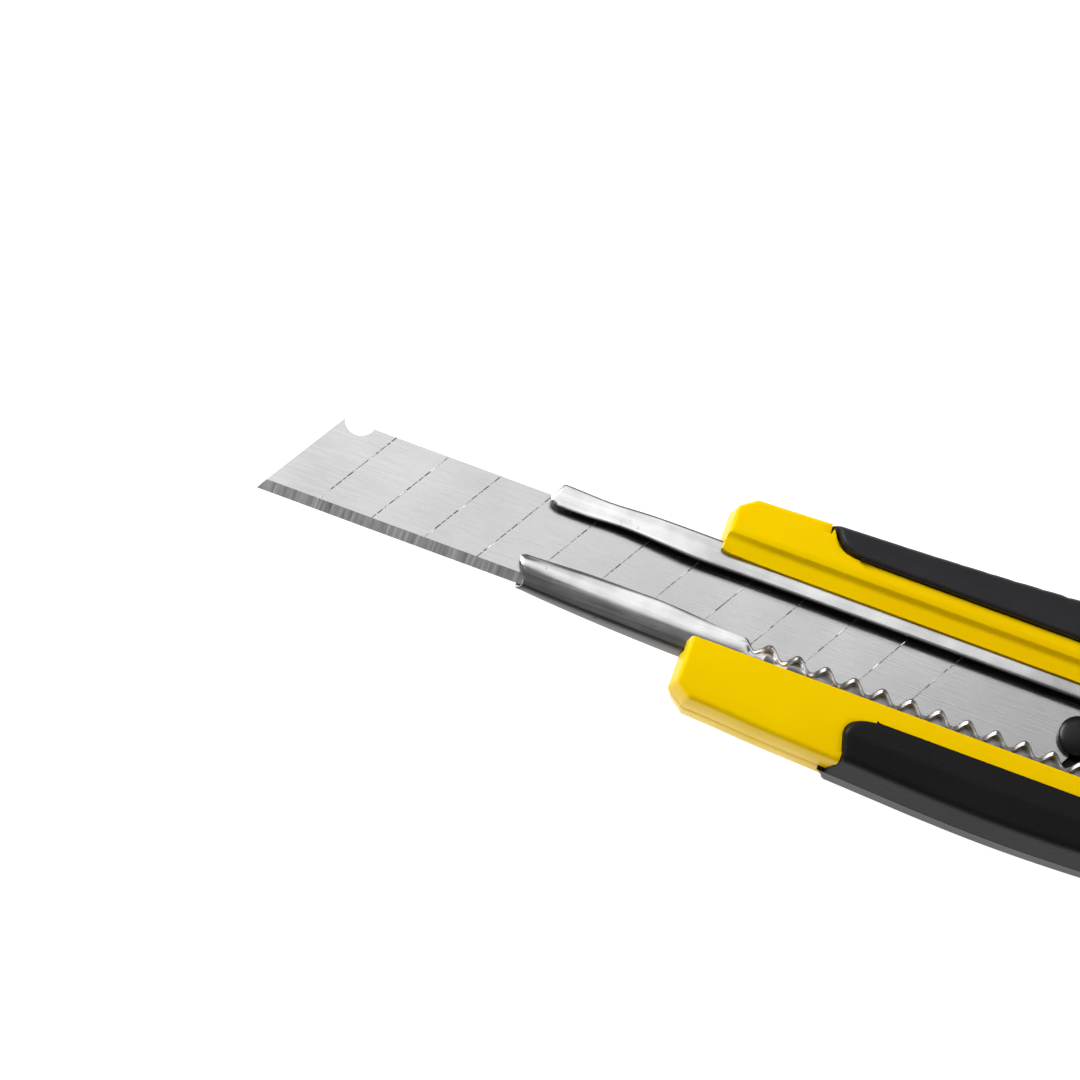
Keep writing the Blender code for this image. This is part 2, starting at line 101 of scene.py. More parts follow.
def ease(t):
    t = clamp(t)
    return t * t * (3 - 2 * t)


XS = [41 + 3.0 * i for i in range(34)]
CENTRE = Vector((CAP_X1 / 2, (min(y_lo(x) for x in XS) + max(y_up(x) for x in XS)) / 2, GRIP_BACK))


def place(x, y, z):
    return (Vector((x, y, z)) - CENTRE) * 0.001


# ------------------------------------------------------------------ mesh tools
def loft(rings, cap="ngon"):
    """Vertices and faces of a skin through closed rings of equal length."""
    n = len(rings[0])
    verts = [p for ring in rings for p in ring]
    faces = []
    for k in range(len(rings) - 1):
        a, b = k * n, (k + 1) * n
        for i in range(n):
            j = (i + 1) % n
            faces.append((a + i, b + i, b + j, a + j))
    last = (len(rings) - 1) * n
    if cap == "ngon":
        faces.append(tuple(range(n)))
        faces.append(tuple(last + i for i in reversed(range(n))))
    elif cap == "strip":
        for i in range(n // 2 - 1):
            faces.append((i, i + 1, n - 2 - i, n - 1 - i))
            faces.append((last + n - 1 - i, last + n - 2 - i, last + i + 1, last + i))
    return verts, faces


def bm_of(data):
    verts, faces = data
    bm = bmesh.new()
    made = [bm.verts.new(v) for v in verts]
    for f in faces:
        try:
            bm.faces.new([made[i] for i in f])
        except ValueError:
            pass
    bm.normal_update()
    if bm.calc_volume(signed=True) < 0:
        bmesh.ops.reverse_faces(bm, faces=bm.faces)
    return bm


def raw_object(name, bm):
    for v in bm.verts:
        v.co = place(*v.co)
    me = bpy.data.meshes.new(name)
    bm.to_mesh(me)
    bm.free()
    o = bpy.data.objects.new(name, me)
    bpy.context.scene.collection.objects.link(o)
    return o


def bake(o, weld=0.0):
    """Applies the modifiers of o and drops its Boolean tools."""
    bpy.context.view_layer.update()
    tools = [m.object for m in o.modifiers if m.type == "BOOLEAN"]
    dg = bpy.context.evaluated_depsgraph_get()
    me = bpy.data.meshes.new_from_object(o.evaluated_get(dg))
    o.modifiers.clear()
    o.data = me
    for t in tools:
        if t is not None:
            bpy.data.objects.remove(t)
    if weld:
        bm = bmesh.new()
        bm.from_mesh(me)
        bmesh.ops.remove_doubles(bm, verts=bm.verts, dist=weld)
        bmesh.ops.dissolve_degenerate(bm, edges=bm.edges, dist=weld)
        bm.to_mesh(me)
        bm.free()
    return o


def cut(o, data, operation="DIFFERENCE"):
    tool = raw_object("tool", bm_of(data))
    m = o.modifiers.new("cut", "BOOLEAN")
    m.operation, m.solver, m.object = operation, "EXACT", tool


def finish_piece(o, mats, body, nodes=(), sharp=35, bevel=0.0, segments=3, bevel_angle=35):
    """Shading, materials, edge rounding, and what the piece rides on and replaces."""
    mats = mats if isinstance(mats, (list, tuple)) else [mats]
    if bevel:
        m = o.modifiers.new("edges", "BEVEL")
        m.width, m.segments, m.limit_method = bevel * 0.001, segments, "ANGLE"
        m.angle_limit = math.radians(bevel_angle)
        m.use_clamp_overlap = True
        m.miter_outer = "MITER_ARC"
        bake(o)
    for m in mats:
        if m.name not in o.data.materials:
            o.data.materials.append(m)
    o.data.shade_smooth()
    o.data.set_sharp_from_angle(angle=math.radians(sharp))
    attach(o, body)
    if nodes:
        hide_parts(*nodes)
    return o


def fillet(poly, n=5):
    """Closed or open polygon of (y, z, r) corners to points, n + 1 for each round corner."""
    out = []
    m = len(poly)
    for i, (y, z, r) in enumerate(poly):
        if r <= 0:
            out.append((y, z))
            continue
        p, q = poly[i - 1], poly[(i + 1) % m]
        a = Vector((p[0] - y, p[1] - z)).normalized()
        b = Vector((q[0] - y, q[1] - z)).normalized()
        half = math.acos(clamp(a.dot(b), -1, 1)) / 2
        d = r / math.tan(half)
        mid = (a + b).normalized()
        c = Vector((y, z)) + mid * (r / math.sin(half))
        s, e = Vector((y, z)) + a * d - c, Vector((y, z)) + b * d - c
        a0, a1 = math.atan2(s.y, s.x), math.atan2(e.y, e.x)
        if a1 - a0 > math.pi:
            a1 -= 2 * math.pi
        if a0 - a1 > math.pi:
            a1 += 2 * math.pi
        for k in range(n + 1):
            t = a0 + (a1 - a0) * k / n
            out.append((c.x + r * math.cos(t), c.y + r * math.sin(t)))
    return out


def inset(points, d):
    """Moves a closed (y, z) outline inwards by d."""
    if d <= 0:
        return list(points)
    n = len(points)
    area = sum(points[i][0] * points[(i + 1) % n][1] - points[(i + 1) % n][0] * points[i][1] for i in range(n))
    s = 1 if area > 0 else -1
    out = []
    for i in range(n):
        a, b = points[i - 1], points[(i + 1) % n]
        ty, tz = b[0] - a[0], b[1] - a[1]
        length = math.hypot(ty, tz) or 1.0
        out.append((points[i][0] - s * tz / length * d, points[i][1] + s * ty / length * d))
    return out


def rect(x0, x1, y0, y1, r, n=6):
    out = []
    for cx, cy, a0 in ((x1 - r, y0 + r, -90), (x1 - r, y1 - r, 0), (x0 + r, y1 - r, 90), (x0 + r, y0 + r, 180)):
        for i in range(n + 1):
            a = math.radians(a0 + 90 * i / n)
            out.append((cx + r * math.cos(a), cy + r * math.sin(a)))
    return out


def prism(outline, z0, z1):
    return loft([[(x, y, z0) for x, y in outline], [(x, y, z1) for x, y in outline]])


def block(x0, x1, y0, y1, z0, z1):
    return prism([(x0, y0), (x1, y0), (x1, y1), (x0, y1)], z0, z1)


def turned(cx, cy, profile, steps=48):
    return loft([[(cx + r * math.cos(2 * math.pi * i / steps), cy + r * math.sin(2 * math.pi * i / steps), z)
                  for i in range(steps)] for r, z in profile])


def dome_rings(outline_at, levels):
    """Rings for a body built up in Z: levels are (z, grow); outline_at(grow) gives the outline."""
    return [[(x, y, z) for x, y in outline_at(g)] for z, g in levels]


# ------------------------------------------------------------------ materials
def new_material(name):
    m = bpy.data.materials.new(name)
    m.use_nodes = True
    nt = m.node_tree
    return m, nt, nt.nodes["Principled BSDF"]


def node(nt, kind, **values):
    n = nt.nodes.new(kind)
    for k, v in values.items():
        if k in n.inputs:
            n.inputs[k].default_value = v
        else:
            setattr(n, k, v)
    return n


def mapped(nt, scale, rotation=(0, 0, 0)):
    """Object coordinates scaled per axis (values are per metre)."""
    tc = nt.nodes.new("ShaderNodeTexCoord")
    mp = nt.nodes.new("ShaderNodeMapping")
    mp.inputs["Scale"].default_value = scale
    mp.inputs["Rotation"].default_value = rotation
    nt.links.new(tc.outputs["Object"], mp.inputs["Vector"])
    return mp.outputs["Vector"]


def noise(nt, vector, scale, detail=3.0, rough=0.5, distortion=0.0):
    n = node(nt, "ShaderNodeTexNoise", Scale=scale, Detail=detail, Roughness=rough, Distortion=distortion)
    nt.links.new(vector, n.inputs["Vector"])
    return n.outputs["Fac"]


def ramp(nt, fac, stops):
    r = nt.nodes.new("ShaderNodeValToRGB")
    e = r.color_ramp.elements
    while len(e) < len(stops):
        e.new(0.5)
    for i, (pos, col) in enumerate(stops):
        e[i].position = pos
        e[i].color = (*col, 1) if isinstance(col, (list, tuple)) else (col, col, col, 1)
    nt.links.new(fac, r.inputs["Fac"])
    return r.outputs["Color"]


def bump(nt, bsdf, height, distance, strength=1.0, chain=None):
    b = node(nt, "ShaderNodeBump", Strength=strength, Distance=distance)
    nt.links.new(height, b.inputs["Height"])
    if chain is not None:
        nt.links.new(chain, b.inputs["Normal"])
    nt.links.new(b.outputs["Normal"], bsdf.inputs["Normal"])
    return b.outputs["Normal"]


def mul(nt, a, b, kind="MULTIPLY"):
    n = node(nt, "ShaderNodeMath", operation=kind)
    nt.links.new(a, n.inputs[0])
    if isinstance(b, (int, float)):
        n.inputs[1].default_value = b
    else:
        nt.links.new(b, n.inputs[1])
    return n.outputs[0]


def plastic(name, light, dark, rough, grain_mm=0.25, grain_depth=0.004, spec=0.5, swirl=True):
    """Moulded plastic: slight colour drift, uneven gloss, fine spark-eroded grain, soft flow marks."""
    m, nt, b = new_material(name)
    v = mapped(nt, (1, 1, 1))
    drift = noise(nt, v, 70, 2)
    nt.links.new(ramp(nt, drift, [(0.3, dark), (0.7, light)]), b.inputs["Base Color"])
    gloss = noise(nt, v, 260, 4, 0.6)
    nt.links.new(ramp(nt, gloss, [(0.25, max(rough - 0.07, 0.03)), (0.75, rough + 0.09)]), b.inputs["Roughness"])
    b.inputs["Specular IOR Level"].default_value = spec
    n1 = bump(nt, b, noise(nt, v, 1000 / grain_mm, 2, 0.5), grain_depth * 0.001, 1.0)
    if swirl:
        bump(nt, b, noise(nt, v, 240, 2, 0.4), 0.012 * 0.001, 1.0, n1)
    return m


def rubber(name, base, rough, depth=0.02):
    """Soft grip: fine even texture with a few brighter dust specks and rubbed patches."""
    m, nt, b = new_material(name)
    v = mapped(nt, (1, 1, 1))
    patch = noise(nt, v, 160, 3, 0.6)
    speck = noise(nt, v, 3300, 2, 0.6)
    tone = ramp(nt, patch, [(0.3, [c * 0.93 for c in base]), (0.72, [c * 1.08 for c in base])])
    dust = ramp(nt, speck, [(0.0, 0.0), (0.76, 0.0), (0.84, 0.05)])
    mix = node(nt, "ShaderNodeMix", data_type="RGBA", blend_type="ADD")
    mix.inputs[0].default_value = 1.0
    nt.links.new(tone, mix.inputs[6])
    nt.links.new(dust, mix.inputs[7])
    nt.links.new(mix.outputs[2], b.inputs["Base Color"])
    nt.links.new(ramp(nt, patch, [(0.25, rough - 0.03), (0.8, rough + 0.03)]), b.inputs["Roughness"])
    b.inputs["Specular IOR Level"].default_value = 0.2
    vor = node(nt, "ShaderNodeTexVoronoi", Scale=3600.0, feature="SMOOTH_F1")
    nt.links.new(v, vor.inputs["Vector"])
    n1 = bump(nt, b, vor.outputs["Distance"], depth * 0.001, 0.8)
    bump(nt, b, noise(nt, v, 1500, 3, 0.6), depth * 0.9 * 0.001, 0.7, n1)
    return m


def steel(name, light, dark, rough, along=(40, 3000, 3000), depth=0.0012, wavy=0.0, specks=True, rotation=(0, 0, 0),
          spread=0.08, aniso=0.0, cloudy=0.4, cloud_scale=110, stops=(0.32, 0.66)):
    """Rolled or ground steel: streaks along the working direction, small pits and stains, slow waviness."""
    m, nt, b = new_material(name)
    b.inputs["Metallic"].default_value = 1.0
    v = mapped(nt, along, rotation)
    streak = noise(nt, v, 1.0, 5, 0.65)
    flat = mapped(nt, (1, 1, 1))
    cloud = noise(nt, flat, cloud_scale, 3, 0.55)
    tone = ramp(nt, mul(nt, mul(nt, streak, 1 - cloudy), mul(nt, cloud, cloudy), "ADD"), [(stops[0], dark), (stops[1], light)])
    if specks:
        spot = noise(nt, flat, 900, 3, 0.55, 0.6)
        mask = ramp(nt, spot, [(0.0, 1.0), (0.69, 1.0), (0.76, 0.55)])
        mix = node(nt, "ShaderNodeMix", data_type="RGBA", blend_type="MULTIPLY")
        mix.inputs[0].default_value = 1.0
        nt.links.new(tone, mix.inputs[6])
        nt.links.new(mask, mix.inputs[7])
        tone = mix.outputs[2]
    nt.links.new(tone, b.inputs["Base Color"])
    nt.links.new(ramp(nt, streak, [(0.25, max(rough - spread, 0.03)), (0.75, rough + spread)]), b.inputs["Roughness"])
    b.inputs["Anisotropic"].default_value = aniso
    n1 = bump(nt, b, streak, depth * 0.001, 1.0)
    if wavy:
        bump(nt, b, noise(nt, flat, 190, 2, 0.4, 0.3), wavy * 0.001, 1.0, n1)
    return m


YELLOW = plastic("yellow_abs", (0.97, 0.655, 0.0), (0.92, 0.575, 0.0), 0.3, spec=0.16)
YELLOW.node_tree.nodes["Principled BSDF"].inputs["Specular Tint"].default_value = (1.0, 0.75, 0.05, 1)
BLACK = plastic("black_abs", (0.008, 0.008, 0.009), (0.006, 0.006, 0.007), 0.28, spec=0.35)
RUBBER = rubber("grip_rubber", (0.0072, 0.0072, 0.0082), 0.46)
# Lighter copy of the same black grip rubber for the spine-side grips: painted light on that side.
RUBBER_SPINE_LIT = rubber("grip_rubber_spine_lit_copy", (0.022, 0.0215, 0.0245), 0.46)
PAD = rubber("pad_rubber", (0.02, 0.02, 0.021), 0.55)
CHANNEL = steel("channel_sheet", (0.92, 0.92, 0.92), (0.6, 0.6, 0.6), 0.22, (60, 1600, 1600), 0.003, wavy=0.02, cloudy=0.55, cloud_scale=170, stops=(0.4, 0.6))
# Dark copy of the channel steel: painted shade on the channel's inside, under the lips, and on the sheet's thin edge
# faces.
CHANNEL_SHADE = steel("channel_inside_painted_shade", (0.12, 0.12, 0.12), (0.07, 0.07, 0.07), 0.4, (60, 1600, 1600), 0.002)
# Darkened copy of the channel steel: painted dark reflection on the lower rail's rounded outer side.
CHANNEL_DARK_REFLECTION = steel("channel_underside_painted_dark_reflection", (0.17, 0.17, 0.17), (0.09, 0.09, 0.09), 0.4, (60, 1600, 1600), 0.002)
# Duller grey copy of the channel steel: painted shade in the pockets behind the ratchet waves.
POCKET_SHADE = steel("channel_pockets_painted_shade", (0.5, 0.5, 0.5), (0.24, 0.24, 0.24), 0.5, (400, 1600, 1600), 0.002)
BLADE_FACE = steel("blade_face", (0.71, 0.71, 0.712), (0.53, 0.53, 0.535), 0.22, (260, 6500, 6500), 0.006, wavy=0.0, specks=False)
BLADE_GRIND = steel("blade_grind", (0.8, 0.8, 0.8), (0.36, 0.36, 0.365), 0.34, (5200, 160, 160), 0.004, specks=False)
BLADE_CUT = steel("blade_cut_edge", (0.5, 0.5, 0.5), (0.3, 0.3, 0.3), 0.4, (900, 900, 9000), 0.003, specks=False)
HARDWARE = steel("plated_steel", (0.62, 0.62, 0.63), (0.46, 0.46, 0.48), 0.27, (900, 900, 900), 0.002)

# ------------------------------------------------------------------ shells
NOSE = 41.0
NOSE_R = 0.32


def crown(y):
    c = abs(y - 4.5)
    return 0.34 * max(0.0, (c - 5.2) / 5.6) ** 2


def shell_ring(x, upper_half):
    e = clamp((42.55 - x) / 1.55)
    lo, up = y_lo(x) + 1.2 * e, y_up(x) - 1.2 * e
    if upper_half:
        zs = SEAM_Z + 0.035
        pts = [(lo - 0.15, zs), (lo - 0.13, 0.8)]
        pts += fillet([(lo - 0.13, 0.8, 0), (lo - 0.08, TOP_Z - crown(lo) - 0.02, 0.55),
                       (lo + 2.0, TOP_Z - crown(lo + 2.0), 0)], 7)[1:-1]
        ys = np.linspace(lo + 1.0, up - 1.0, 40)
        pts += [(y, TOP_Z - crown(y)) for y in ys]
        pts += fillet([(up - 2.0, TOP_Z - crown(up - 2.0), 0), (up + 0.08, TOP_Z - crown(up) - 0.02, 0.55),
                       (up + 0.13, 0.8, 0)], 7)[1:-1]
        pts += [(up + 0.13, 0.8), (up + 0.15, zs)]
    else:
        zs = SEAM_Z - 0.035
        pts = [(lo - 0.15, zs), (lo - 0.05, -1.6)]
        pts += fillet([(lo - 0.05, -1.6, 0), (lo + 0.22, BACK_Z, 1.5), (lo + 4.0, BACK_Z, 0)], 8)[1:-1]
        ys = np.linspace(lo + 2.6, up - 2.6, 12)
        pts += [(y, BACK_Z) for y in ys]
        pts += fillet([(up - 4.0, BACK_Z, 0), (up - 0.22, BACK_Z, 1.5), (up + 0.05, -1.6, 0)], 8)[1:-1]
        pts += [(up + 0.05, -1.6), (up + 0.15, zs)]
    return pts


def shell_rings(upper_half):
    xs = [NOSE + NOSE_R * (1 - math.cos(math.radians(a))) for a in (0, 18, 36, 54, 72, 90)]
    x = xs[-1]
    while x < 44:
        x += 0.25
        xs.append(x)
    while x < SHELL_X1 - 1.6:
        x += 1.5
        xs.append(x)
    xs.append(SHELL_X1)
    rings = []
    for x in xs:
        d = x - NOSE
        off = NOSE_R - math.sqrt(max(0.0, NOSE_R**2 - max(0.0, NOSE_R - d) ** 2)) if d < NOSE_R else 0.0
        pts = shell_ring(x, upper_half)
        zs = pts[0][1]
        moved = inset(pts, off)
        fade = 1 - ease((x - NOSE) / 3.5)
        ring = []
        for (y0, z0), (y, z) in zip(pts, moved):
            if upper_half:
                z = max(z, zs)  # the seam plane stays flat
                sx = x - (TOP_Z - z) * 0.15 * fade
            else:
                z = min(z, zs)
                sx = x - 0.5 * fade + (zs - z) * 0.17 * fade
            ring.append((sx, y, z))
        rings.append(ring)
    return rings


def grip_outline(x, side, face):
    inner = GRIP_IN_LO if side < 0 else GRIP_IN_UP
    edge = y_lo(x) if side < 0 else y_up(x)
    return inner, edge


def grip_cutter(side, face, extra):
    """Recess body that follows the grip's own outline."""
    front = FRONT_LOWER if side < 0 else FRONT_UPPER
    rear = REAR_LOWER if side < 0 else REAR_UPPER
    shift = -0.7 if face < 0 else 0.0
    s, f = side, face
    floor = (TOP_Z - 0.85) if f > 0 else (BACK_Z + 0.85)
    seam = SEAM_Z
    us = [0.0, 0.012, 0.04, 0.08, 0.12, 0.16, 0.2, 0.26, 0.33, 0.4, 0.48, 0.55, 0.6, 0.7, 0.8, 0.9, 1.0]
    rings = []
    n = 50
    for k in range(n + 1):
        t = k / n
        outer, inn = [], []
        for u in us:
            x = (smooth(front, u) + shift - extra) * (1 - t) + (smooth(rear, u) + extra) * t
            i0, edge = grip_outline(x, s, f)
            w = edge - i0
            far = TOP_Z + 4 if f > 0 else BACK_Z - 4
            if u <= 0.55:
                y = i0 + w * (u / 0.55) * 0.93 - (s * extra * (1 - u / 0.55)) * min(1.0, t / 0.02)
                outer.append((x, y, far))
                inn.append((x, y - (s * 0.0), floor) if u < 0.5 else (x, edge - s * 1.25, floor))
            else:
                q = (u - 0.6) / 0.4
                z = (far if u == 0.6 else (TOP_Z if f > 0 else BACK_Z) * (1 - q) + (seam - f * 1.0) * q)
                outer.append((x, edge + s * 12, z))
                inn.append((x, edge - s * 1.2, floor - f * 0.3 if u == 0.6 else (floor - f * 0.4) * (1 - q) + (seam - f * 1.0) * q))
        rings.append(outer + inn[::-1])
    return loft(rings, "strip")


SCREWS = {"screw_front_lower": (47.5, -3.4), "screw_front_upper": (45.8, 12.6),
          "screw_rear_lower": (136.5, -4.2), "screw_rear_upper": (136.5, 13.0)}

front = raw_object("handle_front", bm_of(loft(shell_rings(True))))
arc = [(math.cos(math.radians(9 * i)), math.sin(math.radians(9 * i))) for i in range(11)]
slot = [(20, -0.35), (40.3, -0.35)] + [(41.35 - 1.0 * c, SLOT_LO - 0.45 + 0.45 * q) for c, q in arc]
slot += [(x, y) for x, y in rect(100, SLOT_END, SLOT_LO, SLOT_HI, 1.5, 8) if x > 110]
slot += [(41.8 - 1.4 * q, SLOT_HI + 1.0 - 1.0 * c) for c, q in arc] + [(40.2, SLOT_HI + 1.02), (20, SLOT_HI + 1.02)]
cut(front, prism(slot, -6, 8))
cut(front, block(20, 160, CH_OUT_LO - 0.08, CH_OUT_HI + 0.16, -6, 1.06))
cut(front, block(20, 160, 4.0, CH_OUT_HI + 0.16, -6, 1.55))
step_profile = fillet([(6.5, 1.4, 0), (8.86, 1.82, 0.4), (10.2, 2.16, 0.7), (10.62, 2.66, 0.3), (11.6, TOP_Z + 0.1, 0), (11.7, 8, 0), (6.5, 8, 0)], 6)
step_xs = [20, 41.0] + [41.0 + 0.5 * i for i in range(1, 13)] + [SLOT_END]
cut(front, loft([[(x, y, z + 0.25 * (1 - ease((x - 41.0) / 5.0)) * clamp((TOP_Z + 0.12 - z) / 0.9)) for y, z in step_profile] for x in step_xs]))
for side in (-1, 1):
    cut(front, grip_cutter(side, 1, 0.09))
bake(front)
finish_piece(front, YELLOW, "handle", ["front_shell"], bevel=0.1, segments=2, bevel_angle=50)

back = raw_object("handle_back", bm_of(loft(shell_rings(False))))
cut(back, block(20, 160, CH_OUT_LO - 0.08, CH_OUT_HI + 0.16, CH_FLOOR - 0.1, 6))
cut(back, prism(rect(62, 122, 0.3, 8.7, 1.5, 8), GRIP_BACK, BACK_Z + 0.4), "UNION")
for sx, sy in SCREWS.values():
    cut(back, turned(sx, sy, [(1.9, BACK_Z - 1), (1.9, BACK_Z + 1.5), (1.05, BACK_Z + 2.4), (1.05, 1)]))
for side in (-1, 1):
    cut(back, grip_cutter(side, -1, 0.09))
bake(back)
finish_piece(back, YELLOW, "handle", ["back_shell"], bevel=0.1, segments=2, bevel_angle=50)


# ------------------------------------------------------------------ soft grips
def grip_rings(side, face):
    """Rubber pad: round-edged section, rolled-over front end, shallow finger notches on the outer shoulder."""
    front_c = FRONT_LOWER if side < 0 else FRONT_UPPER
    rear_c = REAR_LOWER if side < 0 else REAR_UPPER
    shift = -0.7 if face < 0 else 0.0
    s, f = side, face
    top = GRIP_TOP if f > 0 else GRIP_BACK
    floor = (TOP_Z - 0.8) if f > 0 else (BACK_Z + 0.8)
    seam = SEAM_Z + f * 0.05
    rings, grown, counts = [], [], []
    # how far along: dense at both ends so the ends roll over
    ts, r = [], 0.45
    length = 76.0
    for a in (0, 15, 30, 45, 60, 75, 90):
        ts.append(r * (1 - math.cos(math.radians(a))) / length)
    k = ts[-1]
    while k < 1 - ts[6] - 0.007:
        k += 0.0065
        ts.append(k)
    ts += [1 - q for q in reversed(ts[:7])]
    for t in ts:
        d = min(t, 1 - t) * length
        off = r - math.sqrt(max(0.0, r * r - max(0.0, r - d) ** 2)) if d < r else 0.0
        xm = smooth(front_c, 0.4) * (1 - t) + smooth(rear_c, 0.4) * t + shift * (1 - t)
        i0, edge = grip_outline(xm, s, f)
        w = edge - i0
        drop = 0.62 * f if f > 0 else -0.25
        section = [(i0, floor, 0), (i0, top, 0.32), (i0 + w * 0.45, top - drop * 0.12, 2.5),
                   (edge - s * 0.1, top - drop, 0.8), (edge + s * GRIP_BULGE, seam, 0)]
        outer = fillet(section, 6)[1:-1]
        # densify the long side wall
        a, b = outer[-1], (edge + s * GRIP_BULGE, seam)
        outer = [(i0, floor)] + [(i0, floor + (outer[0][1] - floor) * q) for q in (0.5,)] + outer
        outer += [(a[0] + (b[0] - a[0]) * q, a[1] + (b[1] - a[1]) * q) for q in (0.12, 0.3, 0.5, 0.7, 0.88, 1.0)]
        fine, fine_steps = [outer[0]], []
        for p, q in zip(outer, outer[1:]):
            k = len(fine_steps)
            if len(grown) == 0:
                counts.append(max(1, int(math.hypot(q[0] - p[0], q[1] - p[1]) / 0.28)))
            steps = counts[k]
            fine_steps.append(steps)
            fine += [(p[0] + (q[0] - p[0]) * i / steps, p[1] + (q[1] - p[1]) * i / steps) for i in range(1, steps + 1)]
        grown.append(1)
        outer = fine
        m = len(outer)
        lens = [0.0]
        for p, q in zip(outer, outer[1:]):
            lens.append(lens[-1] + math.hypot(q[0] - p[0], q[1] - p[1]))
        total = lens[-1]
        inn = [(i0, floor)] * 0
        outs, ins = [], []
        for j, (y, z) in enumerate(outer):
            h0 = abs(top - floor)
            u = clamp((lens[j] - h0) / (total - h0))  # 0 at the inner top edge, 1 at the seam
            x = (smooth(front_c, u) + shift) * (1 - t) + smooth(rear_c, u) * t
            i1, e1 = grip_outline(x, s, f)
            # follow the real edge at this x
            y += (e1 - edge) * clamp((y - i0) / w)
            ny, nz = 0.0, 0.0
            if 0 < j < m - 1:
                ty, tz = outer[j + 1][0] - outer[j - 1][0], outer[j + 1][1] - outer[j - 1][1]
                ln = math.hypot(ty, tz) or 1
                ny, nz = -tz / ln, ty / ln
                if (ny * s < 0 and abs(ny) > abs(nz)) or (abs(nz) >= abs(ny) and nz * f < 0):
                    ny, nz = -ny, -nz
                if j < 4:
                    ny, nz = -s, 0.0
            notch = 0.0
            if s > 0 and 0.45 < u < 0.98 and 52.5 < x < 121:
                ph = ((x - 53.6) / 2.56) % 1.0
                notch = 0.15 * math.exp(-(((ph - 0.1) / 0.09) ** 2)) * ease((u - 0.45) / 0.12) * ease((0.98 - u) / 0.1)
            move = off + notch
            outs.append((x, y - ny * (notch + off * (0.05 if j < 4 else 0.35)), z - nz * move))
            yi = clamp(y, min(i0, e1 - s * 0.95), max(i0, e1 - s * 0.95))
            zi = floor if u < 0.62 else floor + (seam - floor) * (u - 0.62) / 0.38
            if j <= 1:
                yi, zi = i0 + s * 0.02 * (j + 1), floor + (0 if j == 0 else 0.0)
            ins.append((x, yi, zi))
        rings.append(outs + ins[::-1])
    return rings


for side, face, name, cadnode in ((-1, 1, "grip_front_edge_side", "grip_front_lower"), (1, 1, "grip_front_spine_side", "grip_front_upper"),
                                  (-1, -1, "grip_back_edge_side", "grip_back_lower"), (1, -1, "grip_back_spine_side", "grip_back_upper")):
    g = raw_object(name, bm_of(loft(grip_rings(side, face), "strip")))
    # Spine-side grips take the lighter copy of the rubber: painted light.
    finish_piece(g, RUBBER if side < 0 else RUBBER_SPINE_LIT, "handle", [cadnode], sharp=40)


# ------------------------------------------------------------------ blade channel
def wave_shape(x):
    """(y, z) of the ratchet edge and how fully formed the waves are there."""
    m = clamp((x - 46.65) / 11.0)
    crest, trough = 2.38 + (2.16 - 2.38) * m, 1.38 + (1.05 - 1.38) * m
    c = math.cos(2 * math.pi * (x - WAVE_0) / WAVE_PITCH)
    y = 0.5 * (crest + trough) - 0.5 * (crest - trough) * c
    return y, 0.66 + 0.34 * m, m


LIP_IN = [(24, 7.8), (28.5, 7.8), (31, 7.92), (33, 7.9), (36, 7.67), (38.5, 7.51), (41, 7.5), (44, 7.55), (60, 7.57), (140, 7.57)]


